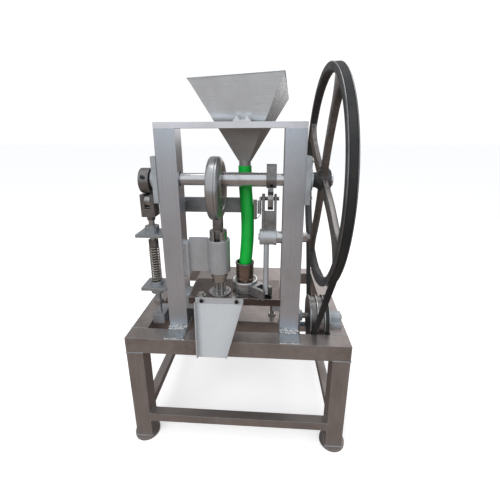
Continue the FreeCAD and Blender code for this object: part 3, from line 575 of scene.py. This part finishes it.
class PRESS_OT_stage(bpy.types.Operator):
    """Pale floor, soft lights, and a camera in front of the press."""
    bl_idname = "press.stage"
    bl_label = "Stage"

    def execute(self, context):
        clear()
        bpy.ops.mesh.primitive_plane_add(size=90, location=(0, 0, 0))
        floor = bpy.context.object
        floor.name = "studio_floor"
        finish = Finish("floor_pale")
        tone = finish.mix(finish.noise(3, 2), (0.80, 0.79, 0.78), (0.84, 0.832, 0.825))
        finish.link(tone, finish.shader.inputs["Base Color"])
        preset(finish.shader, Roughness=0.7, Emission_Color=(1, 1, 1, 1), Emission_Strength=0.46)
        floor.data.materials.append(finish.material)
        floor.visible_diffuse = False
        floor.visible_glossy = False
        for name, place, aim, size, power in (
                ("key", (-1.6, -2.2, 2.2), (0, 0, 0.65), 1.5, 38),
                ("fill", (2.4, -1.7, 1.2), (0, 0, 0.6), 1.2, 8),
                ("top", (0.1, 0.3, 2.8), (0, 0, 0.5), 1.4, 16),
                ("back", (0.6, 2.4, 1.6), (0, 0, 0.6), 1.6, 8)):
            light = bpy.data.lights.new(name, "AREA")
            light.size = size
            light.energy = power
            lamp = bpy.data.objects.new(name, light)
            lamp.location = place
            lamp.visible_glossy = name in ("top", "back")
            lamp.rotation_euler = (Vector(aim) - Vector(place)).to_track_quat("-Z", "Y").to_euler()
            context.scene.collection.objects.link(lamp)
        self.sky(context)
        camera = bpy.data.cameras.new("camera")
        camera.lens = 21.013
        camera.sensor_width = 36
        camera.shift_x = 0.0028
        camera.shift_y = -0.054
        holder = bpy.data.objects.new("camera", camera)
        holder.location = (0.0740, -0.78245, 0.8438)
        holder.rotation_euler = (math.pi / 2 - 0.28079, 0.0020, 0.06235)
        context.scene.collection.objects.link(holder)
        context.scene.camera = holder
        context.scene.view_settings.view_transform = "Standard"
        return {"FINISHED"}

    def sky(self, context):
        """A bright room in front of the press, and a browner, darker one behind and below it."""
        world = bpy.data.worlds.new("studio")
        context.scene.world = world
        world.use_nodes = True
        tree = world.node_tree
        back = tree.nodes["Background"]
        place = tree.nodes.new("ShaderNodeTexCoord")
        split = tree.nodes.new("ShaderNodeSeparateXYZ")
        tree.links.new(place.outputs["Generated"], split.inputs[0])
        height = tree.nodes.new("ShaderNodeMapRange")
        behind = tree.nodes.new("ShaderNodeMapRange")
        for node, axis in ((height, "Z"), (behind, "Y")):
            tree.links.new(split.outputs[axis], node.inputs["Value"])
            preset(node, From_Min=-0.35, From_Max=0.35)
        sides = []
        for stops in (((0, (0.31, 0.26, 0.235)), (0.42, (0.36, 0.32, 0.30)), (0.58, (0.74, 0.80, 0.88)),
                       (1, (0.88, 0.92, 0.96))),
                      ((0, (0.14, 0.115, 0.10)), (0.45, (0.17, 0.14, 0.125)), (0.7, (0.26, 0.24, 0.23)),
                       (1, (0.42, 0.42, 0.43)))):
            ramp = tree.nodes.new("ShaderNodeValToRGB")
            tree.links.new(height.outputs["Result"], ramp.inputs[0])
            for _ in range(2):
                ramp.color_ramp.elements.new(0.5)
            for stop, (position, colour) in zip(ramp.color_ramp.elements, stops):
                stop.position = position
                stop.color = (*colour, 1)
            sides.append(ramp.outputs["Color"])
        room = tree.nodes.new("ShaderNodeMix")
        room.data_type = "RGBA"
        for source, socket in ((behind.outputs["Result"], 0), (sides[0], 6), (sides[1], 7)):
            tree.links.new(source, room.inputs[socket])
        camera_ray = tree.nodes.new("ShaderNodeLightPath")
        mix = tree.nodes.new("ShaderNodeMix")
        mix.data_type = "RGBA"
        tree.links.new(camera_ray.outputs["Is Camera Ray"], mix.inputs[0])
        tree.links.new(room.outputs[2], mix.inputs[6])
        mix.inputs[7].default_value = (1.05, 1.05, 1.05, 1)
        tree.links.new(mix.outputs[2], back.inputs["Color"])
        preset(back, Strength=1.0)


class PRESS_OT_finishes(bpy.types.Operator):
    """Every finish, put on the frame's own nodes."""
    bl_idname = "press.finishes"
    bl_label = "Finishes"

    def execute(self, context):
        make_finishes(context.scene.press_colours)
        dressed = set()
        for finish, nodes in CAD_FINISH.items():
            for name in nodes:
                mesh = NODES[name].data
                mesh.materials.clear()
                mesh.materials.append(FINISHES[finish])
                dressed.add(name)
        bare = sorted(set(NODES) - dressed)
        if bare:
            raise RuntimeError(f"these nodes have no finish: {bare}")
        return {"FINISHED"}


class PRESS_OT_hose(bpy.types.Operator):
    """The green feed hose, from the hopper's spout down into the feed pipe."""
    bl_idname = "press.hose"
    bl_label = "Feed hose"

    def execute(self, context):
        clear()
        radius = context.scene.press_sizes.hose_radius
        curve = bpy.data.curves.new("feed_hose_green", "CURVE")
        curve.dimensions = "3D"
        curve.bevel_depth = radius
        curve.bevel_resolution = 8
        curve.resolution_u = 16
        curve.use_fill_caps = True
        spline = curve.splines.new("NURBS")
        spline.points.add(len(HOSE_ROUTE) - 1)
        for point, (x, y, z) in zip(spline.points, HOSE_ROUTE):
            point.co = (x, depth(y), z, 1)
        spline.order_u = 3
        spline.use_endpoint_u = True
        curve.materials.append(FINISHES["hose_green"])
        hose = bpy.data.objects.new("feed_hose_green", curve)
        context.scene.collection.objects.link(hose)
        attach(hose, "root")
        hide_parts("feed_hose")
        x, y, z = HOSE_ROUTE[0]
        return {"FINISHED"}


class PRESS_OT_wheel(bpy.types.Operator):
    """The belt wheel: turned rim with a sunk tread, curved cast arms and a bossed hub."""
    bl_idname = "press.wheel"
    bl_label = "Belt wheel"

    def execute(self, context):
        self.rim()
        self.arms(context.scene.press_sizes.spokes)
        self.hub()
        return {"FINISHED"}

    def rim(self):
        """A turned ring with a sunk tread for the belt, its edges turned bright."""
        low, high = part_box("flywheel_rim")
        half = (high.x - low.x) / 2
        outer, inner, belt, lip = WHEEL_R, RIM_INNER, GROOVE_HALF, RIM_EDGE
        profile = [(-half + lip, outer), (-belt - 0.0006, outer), (-belt, outer - lip), (-belt, GROOVE_FLOOR),
                   (belt, GROOVE_FLOOR), (belt, outer - lip), (belt + 0.0006, outer), (half - lip, outer),
                   (half, outer - lip), (half, inner + 0.004), (half - 0.003, inner + 0.0005),
                   (0.004, inner - 0.0015), (-0.004, inner - 0.0015), (-half + 0.003, inner + 0.0005),
                   (-half, inner + 0.004), (-half, outer - lip)]
        centre = Vector((WHEEL_X, SHAFT.y, SHAFT.z))
        rim = turned(profile, "x", centre, 160, closed=True)
        finish_piece(rim, "wheel_rim", "camshaft", "iron_dark", ["flywheel_rim"])
        rim.data.materials.append(FINISHES["iron_turned"])
        for face in rim.data.polygons:
            out = math.hypot(face.center.y - SHAFT.y, face.center.z - SHAFT.z)
            if out > outer - 0.0065 and abs(face.center.x - WHEEL_X) > belt:
                face.material_index = 1

    def arms(self, count):
        """One arm is extruded from a rounded bar, ring by ring along its bow, and copied about the shaft."""
        clear()
        bpy.ops.mesh.primitive_plane_add(size=2, location=(0, 0, ARM_START))
        arm = bpy.context.object
        arm.scale = (ARM_THICK, ARM_ROOT, 1)
        settle(arm)
        edit(arm)
        bpy.ops.mesh.bevel(offset=0.0028, segments=4, affect="VERTICES")
        side, station, thick, wide = 0.0, ARM_START, ARM_THICK, ARM_ROOT
        for k in range(1, ARM_STEPS + 1):
            along = k / ARM_STEPS
            to_rim, to_hub = max(0, along - 0.7) / 0.3, max(0, 0.25 - along) / 0.25
            next_station = ARM_START + (ARM_END - ARM_START) * along
            next_side = 4 * ARM_BOW * along * (1 - along)
            next_wide = ARM_WIDE + 0.0035 * to_hub ** 2 + 0.0165 * to_rim ** 2.4
            next_thick = ARM_THICK + 0.0012 * to_rim ** 2
            bpy.ops.mesh.extrude_region_move(TRANSFORM_OT_translate={
                "value": (0, next_side - side, next_station - station)})
            bpy.ops.transform.resize(value=(next_thick / thick, next_wide / wide, 1))
            side, station, thick, wide = next_side, next_station, next_thick, next_wide
        bpy.ops.mesh.select_all(action="SELECT")
        bpy.ops.mesh.normals_make_consistent(inside=False)
        done()
        centre = Matrix.Translation((WHEEL_X, SHAFT.y, SHAFT.z))
        arms = [copied(arm, centre @ Matrix.Rotation(FIRST_ARM + 2 * math.pi * k / count, 4, "X"))
                for k in range(count)]
        bpy.data.objects.remove(arm)
        finish_piece(merged(arms), "wheel_arms", "camshaft", "iron_arm", ["flywheel_arms"], 50)

    def hub(self):
        """The boss, with a collar that tapers onto the shaft, and its grub screw."""
        low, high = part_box("flywheel_hub")
        radius, bore = (high.z - low.z) / 2, SHAFT_BORE
        near, far = low.x - WHEEL_X, high.x - WHEEL_X
        profile = [(near - 0.012, bore), (near - 0.012, 0.0176), (near - 0.005, 0.0182), (near, 0.0215),
                   (near + 0.003, radius - 0.003), (near + 0.006, radius), (far - 0.004, radius),
                   (far, radius - 0.004), (far, bore)]
        hub = turned(profile, "x", Vector((WHEEL_X, SHAFT.y, SHAFT.z)), 64, closed=True)
        finish_piece(hub, "wheel_hub", "camshaft", "iron_dark", ["flywheel_hub"])
        grub = turned(HUB_SCREW, "z", Vector((low.x + 0.008, SHAFT.y, SHAFT.z + radius - 0.0005)), 24)
        finish_piece(grub, "wheel_grub_screw", "camshaft", "black_screw")


class PRESS_OT_pulley(bpy.types.Operator):
    """The stepped pulley on the jackshaft, with its turned flanges."""
    bl_idname = "press.pulley"
    bl_label = "Step pulley"

    def execute(self, context):
        low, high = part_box("step_pulley")
        centre = Vector((WHEEL_X, middle("step_pulley").y, middle("step_pulley").z))
        flange = (high.z - low.z) / 2
        profile = [(low.x - WHEEL_X, PULLEY_SHAFT), (-0.0116, PULLEY_SHAFT)]
        for start, end in PULLEY_DISCS:
            start, end = start * MM, end * MM
            if start > -0.01:
                profile.append((start, PULLEY_GROOVE))
            profile += [(start, flange - 0.0008), (start + 0.0006, flange), (end - 0.0006, flange),
                        (end, flange - 0.0008)]
            if end < 0.04:
                profile.append((end, PULLEY_GROOVE))
        profile += [(0.0416, 0.02), (0.0416, PULLEY_SHAFT), (high.x - WHEEL_X, PULLEY_SHAFT)]
        pulley = turned(profile, "x", centre, 96)
        finish_piece(pulley, "jack_pulley", "jackshaft", "machined_dark", ["step_pulley"])
        pulley.data.materials.append(FINISHES["machined_bright"])
        for face in pulley.data.polygons:
            if math.hypot(face.center.y - centre.y, face.center.z - centre.z) > flange - 0.002:
                face.material_index = 1
        return {"FINISHED"}


class PRESS_OT_strap(bpy.types.Operator):
    """The eccentric's strap: a turned disc with a crowned tread, and the neck that drives the ram."""
    bl_idname = "press.strap"
    bl_label = "Eccentric strap"

    def execute(self, context):
        low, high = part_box("eccentric_strap")
        radius, bore, half = (high.y - low.y) / 2, STRAP_BORE, STRAP_HALF
        centre = Vector((PUNCH_X, SHAFT.y, high.z - radius))
        profile = [(-half, bore + 0.002), (-half, radius - 0.0065), (-half + 0.0012, radius - 0.0032),
                   (-half + 0.0036, radius - 0.0011), (-half + 0.008, radius - 0.0002), (-0.001, radius),
                   (0.0030, radius - 0.0002), (0.0034, radius - 0.0022), (0.0050, radius - 0.0022),
                   (0.0054, radius - 0.0002), (0.0085, radius - 0.0006), (0.0115, radius - 0.0034),
                   (half - 0.0016, radius - 0.0085), (half, radius - 0.012), (half, bore + 0.004),
                   (half - 0.002, bore + 0.001), (half - 0.005, bore), (-half + 0.005, bore),
                   (-half + 0.002, bore + 0.001)]
        disc = turned(profile, "x", centre, 128, closed=True)
        neck = block((PUNCH_X - 0.012, SHAFT.y - 0.013, NECK_LOW),
                     (PUNCH_X + 0.012, SHAFT.y + 0.013, centre.z - radius + 0.012))
        tang = block((PUNCH_X - 0.0078, SHAFT.y - 0.013, TANG_LOW),
                     (PUNCH_X + 0.0078, SHAFT.y + 0.013, 0.6205))
        rounded(neck, 0.002)
        rounded(tang, 0.001)
        strap = merged([disc, neck, tang])
        finish_piece(strap, "strap_disc", "ram_body", "strap_turned", ["eccentric_strap"])
        strap.data.materials.append(FINISHES["machined_dark"])
        for face in strap.data.polygons:
            if face.center.z < centre.z - radius + 0.0002:
                face.material_index = 1
        return {"FINISHED"}


class PRESS_OT_springs(bpy.types.Operator):
    """The lift rod's coil spring and thread, and the feed lever's small return spring."""
    bl_idname = "press.springs"
    bl_label = "Springs and threads"

    def execute(self, context):
        sizes = context.scene.press_sizes
        low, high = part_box("lift_spring")
        at = middle("lift_spring")
        radius = (high.x - low.x) / 2 - sizes.wire
        spring = coil((at.x, at.y, low.z + sizes.wire), radius, sizes.wire, high.z - low.z - 2 * sizes.wire,
                      sizes.coils, 24, 10)
        finish_piece(spring, "lift_coil", "lifter", "spring_wire", ["lift_spring"], 60)
        rod = (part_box("lift_rod")[1].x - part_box("lift_rod")[0].x) / 2
        threads = []
        for start, end in ROD_THREADS:
            turns = max(3, round((end - start) / sizes.pitch))
            threads.append(coil((at.x, at.y, start), rod, 0.0008, end - start, turns, 24, 5))
        finish_piece(merged(threads), "rod_thread", "lifter", "machined_bright", (), 60)
        self.lever_spring()
        return {"FINISHED"}

    def lever_spring(self):
        """A short coil beside a bright post, hooked to the lever's pin at its left end."""
        x, y = 0.0555, depth(108)
        hooked = coil((x, y, 0.655), 0.0044, 0.0012, 0.036, 12, 14, 6)
        post = tube([(x - 0.011, y - 0.004, z) for z in (0.642, 0.668, 0.694)], 0.0048)
        hook = tube([(x, y + 0.0042, 0.690), (x, y + 0.006, 0.697), (x + 0.003, y + 0.007, 0.6985),
                     (x + 0.010, y + 0.009, 0.6945)], 0.001)
        foot = tube([(x - 0.011, y - 0.004, 0.645), (x - 0.004, y - 0.002, 0.643), (x, y, 0.649),
                     (x + 0.0042, y, 0.655)], 0.001)
        finish_piece(merged([hooked, hook, foot, post]), "lever_return_spring", "feed_lever",
                     "machined_bright", (), 50)


class PRESS_OT_welds(bpy.types.Operator):
    """Bright weld beads where the tubes and brackets meet."""
    bl_idname = "press.welds"
    bl_label = "Weld beads"

    def execute(self, context):
        width = context.scene.press_sizes.weld
        rng = random.Random(7)
        lines = []
        base_top = TABLE_TOP + BASE_THICK
        for node in ("column_left", "column_right"):
            low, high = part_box(node)
            y = low.y - 0.001
            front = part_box("column_end_plates")[0].y
            lines += [((low.x + 0.002, y, base_top + 0.001), (high.x - 0.002, y, base_top + 0.001), 1.3),
                      ((low.x + 0.004, y - 0.009, base_top), (high.x - 0.008, y - 0.009, base_top), 1.1),
                      ((low.x, low.y, base_top), (low.x, high.y, base_top), 0.7),
                      ((high.x, low.y, base_top), (high.x, high.y, base_top), 0.7),
                      ((low.x, front, TABLE_TOP), (high.x, front, TABLE_TOP), 0.6)]
            lines += [((x, front, TABLE_TOP), (x, high.y, TABLE_TOP), 0.5) for x in (low.x, high.x)]
        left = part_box("column_left")[1].x
        low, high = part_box("guide_arm")
        lines.append(((left, low.y, low.z), (left, low.y, high.z - 0.012), 0.6))
        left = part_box("ram_guide")[0].x + 0.006
        lines.append(((left, low.y + 0.009, low.z + 0.012), (left, low.y + 0.009, high.z - 0.004), 0.35))
        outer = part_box("column_left")[0].x
        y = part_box("rod_guides")[0].y
        for z in GUIDE_PLATES:
            lines += [((outer, y + 0.022, z + face), (outer, y + 0.056, z + face), 0.35)
                      for face in (0.0, GUIDE_THICK)]
        finish_piece(welded(lines, width, rng), "portal_welds", "root", "weld_bright", (), 60)
        finish_piece(welded(self.table_lines(), width, rng), "table_welds", "root", "bracket_grey",
                     (), 60)
        return {"FINISHED"}

    def table_lines(self):
        """Lines round the tops and feet of the legs, over the rails' joints, and at the stretchers' ends."""
        low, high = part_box("table_long_rails")
        rail_low, half = TABLE_TOP - TUBE_SIDE, TUBE_SIDE / 2
        lines = []
        for sign in (-1, 1):
            edge = sign * TABLE_HALF
            inner = edge - sign * TUBE_SIDE
            for y in (low.y, high.y - TUBE_SIDE):
                lines += [((x, y, rail_low), (x, y + TUBE_SIDE, rail_low), 0.42) for x in (edge, inner)]
                lines += [((edge, y_edge, rail_low), (inner, y_edge, rail_low), 0.42)
                          for y_edge in (y, y + TUBE_SIDE)]
                foot = Vector((edge - sign * half, y + half, FOOT_THICK))
                ring = [foot + Vector(corner) for corner in ((-half, -half, 0), (half, -half, 0),
                                                             (half, half, 0), (-half, half, 0))]
                lines += [(a, b, 0.42) for a, b in zip(ring, ring[1:] + ring[:1])]
            for y in (low.y + TUBE_SIDE, high.y - TUBE_SIDE):
                lines.append(((edge, y, TABLE_TOP), (inner, y, TABLE_TOP), 0.3, 0.3))
        for y in (low.y, high.y - STRETCHER_SIDE):
            for x in (-STRETCHER_END, STRETCHER_END):
                lines += [((x, y, z), (x, y + STRETCHER_SIDE, z), 0.4) for z in STRETCHER_HEIGHTS]
        return lines


class PRESS_OT_details(bpy.types.Operator):
    """The turned shaft, ram guide and lever hub, and the small screws, rims and seams."""
    bl_idname = "press.details"
    bl_label = "Small parts"

    def execute(self, context):
        self.shaft_and_guide()
        self.lever_hub()
        self.grub_screws()
        self.bolts()
        self.die_clamps()
        self.feed_parts()
        self.hopper_edges()
        return {"FINISHED"}

    def shaft_and_guide(self):
        """The round shaft with its chamfered ends, and the ram's satin guide with a lipped top."""
        low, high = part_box("main_shaft")
        radius = (high.z - low.z) / 2
        shaft = turned([(low.x, radius - 0.0015), (low.x + 0.0015, radius), (high.x - 0.0015, radius),
                        (high.x, radius - 0.0015)], "x", Vector((0, SHAFT.y, SHAFT.z)), 96)
        finish_piece(shaft, "shaft_bar", "camshaft", "polished_shaft", ["main_shaft"])
        low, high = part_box("ram_guide")
        radius, bore = (high.x - low.x) / 2, GUIDE_BORE
        guide = turned([(low.z, bore), (low.z, radius - 0.0012), (low.z + 0.0012, radius),
                        (high.z - 0.0012, radius), (high.z, radius - 0.0012), (high.z, bore + 0.001),
                        (high.z - 0.001, bore)], "z", Vector((PUNCH_X, SHAFT.y, 0)), 96, closed=True)
        finish_piece(guide, "guide_sleeve", "root", "satin_silver", ["ram_guide"])

    def lever_hub(self):
        """The feed lever's turned hub: a polished sleeve that flares to a collar against the column."""
        at = middle("rocker_stud")
        hub = turned(LEVER_HUB, "x", Vector((0, at.y, at.z)), 80, closed=True)
        finish_piece(hub, "lever_hub_sleeve", "feed_lever", "satin_silver")

    def grub_screws(self):
        """A sunk socket screw in the front of each cam."""
        for node, angle, radius, name in (("lift_cam", -14, 0.0334, "lift_cam_screw"),
                                          ("feed_cam", 38, 0.0204, "feed_cam_screw")):
            screw = front_screw(GRUB_SCREW, 20)
            moved(screw, Matrix.Translation((0, -radius, 0)))
            turn = Matrix.Rotation(math.radians(angle), 4, "X")
            moved(screw, Matrix.Translation((middle(node).x, SHAFT.y, SHAFT.z)) @ turn)
            finish_piece(screw, name, "camshaft", "black_screw")

    def bolts(self):
        """The thread ends of the right bearing's bolts, and the two screws of the chute."""
        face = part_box("column_right")[1].x + BOLT_END
        ends = [turned(THREAD_END, "x", Vector((face, SHAFT.y, SHAFT.z + rise)), 24)
                for rise in (-BOLT_RISE, BOLT_RISE)]
        finish_piece(merged(ends), "bearing_thread_ends", "root", "zinc_bolt")
        heads = [moved(front_screw(CHUTE_SCREW, 28), Matrix.Translation((x, depth(32.8), 0.438)))
                 for x in (-0.092, 0.0)]
        finish_piece(merged(heads), "chute_screws", "root", "black_screw")

    def die_clamps(self):
        """Six cap screws in a ring on the die, and a washer under each plate screw in front of it."""
        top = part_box("die")[1].z
        centre = Vector((middle("die").x, middle("die").y, top))
        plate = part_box("press_plate")[1].z - 0.009
        parts = []
        for k in range(6):
            angle = math.radians(60 * k + 18)
            out = Vector((0.0215 * math.cos(angle), 0.0215 * math.sin(angle), 0))
            parts.append(turned(DIE_SCREW, "z", centre + out, 20))
        for x in (-0.096, -0.009):
            parts.append(turned(WASHER, "z", Vector((x, depth(53), plate)), 28))
        finish_piece(merged(parts), "die_screws", "root", "weld_bright")

    def feed_parts(self):
        """The dark rolled rim of the feed pipe and the bright lip of the shoe's cup."""
        pipe = middle("feed_pipe")
        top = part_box("feed_pipe")[1].z
        rim = turned(PIPE_RIM, "z", Vector((pipe.x, pipe.y, top)), 56, closed=True)
        finish_piece(rim, "pipe_rim", "feed_shoe_body", "machined_dark")
        cup_top = 0.472
        lip = turned(CUP_LIP, "z", Vector((pipe.x, pipe.y, cup_top)), 64, closed=True)
        finish_piece(lip, "shoe_lip", "feed_shoe_body", "polished_shaft")

    def hopper_edges(self):
        """Soldered corner seams of the hopper, and a bead along its rim."""
        mesh = NODES["hopper"].data
        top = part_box("hopper")[1].z
        spots = sorted({tuple(round(value, 4) for value in vertex.co) for vertex in mesh.vertices
                        if vertex.co.z > top - 0.06}, key=lambda spot: -spot[2])
        corners = []
        for spot in spots:
            if all((Vector(spot) - Vector(other)).length > 0.02 for other in corners):
                corners.append(spot)
        outlet = Vector((0.0175, depth(122), 0.790))
        seams = []
        for corner in corners[:4]:
            start = Vector(corner)
            seams.append(tube([start.lerp(outlet, 0.004), start.lerp(outlet, 0.45), start.lerp(outlet, 0.86)],
                              0.0009, 8))
        rim = [Vector(corner) for corner in corners[:4]]
        if len(rim) != 4:
            raise RuntimeError("the hopper's four top corners were not found")
        middle_point = sum(rim, Vector()) / 4
        rim.sort(key=lambda spot: math.atan2(spot.y - middle_point.y, spot.x - middle_point.x))
        for a, b in zip(rim, rim[1:] + rim[:1]):
            seams.append(tube([a, (a + b) / 2, b], 0.0012, 8))
        finish_piece(merged(seams), "hopper_seams", "root", "hopper_sheet", (), 60)


OPERATORS = (PRESS_OT_stage, PRESS_OT_finishes, PRESS_OT_hose, PRESS_OT_wheel, PRESS_OT_pulley,
             PRESS_OT_strap, PRESS_OT_springs, PRESS_OT_welds, PRESS_OT_details)


class PRESS_PT_panel(bpy.types.Panel):
    """Buttons for each group of pieces, and their settings."""
    bl_idname = "PRESS_PT_panel"
    bl_label = "Tablet press"
    bl_space_type = "VIEW_3D"
    bl_region_type = "UI"
    bl_category = "Press"

    def draw(self, context):
        for operator in OPERATORS:
            self.layout.operator(operator.bl_idname)
        for group in (context.scene.press_sizes, context.scene.press_colours):
            for name in group.bl_rna.properties.keys():
                if name not in ("rna_type", "name"):
                    self.layout.prop(group, name)


CLASSES = (PressColours, PressSizes, *OPERATORS, PRESS_PT_panel)


def register():
    for cls in CLASSES:
        bpy.utils.register_class(cls)
    bpy.types.Scene.press_colours = bpy.props.PointerProperty(type=PressColours)
    bpy.types.Scene.press_sizes = bpy.props.PointerProperty(type=PressSizes)


def unregister():
    del bpy.types.Scene.press_sizes
    del bpy.types.Scene.press_colours
    for cls in reversed(CLASSES):
        bpy.utils.unregister_class(cls)


def main():
    register()
    for operator in OPERATORS:
        family, name = operator.bl_idname.split(".")
        getattr(getattr(bpy.ops, family), name)()


if __name__ == "__main__":
    main()
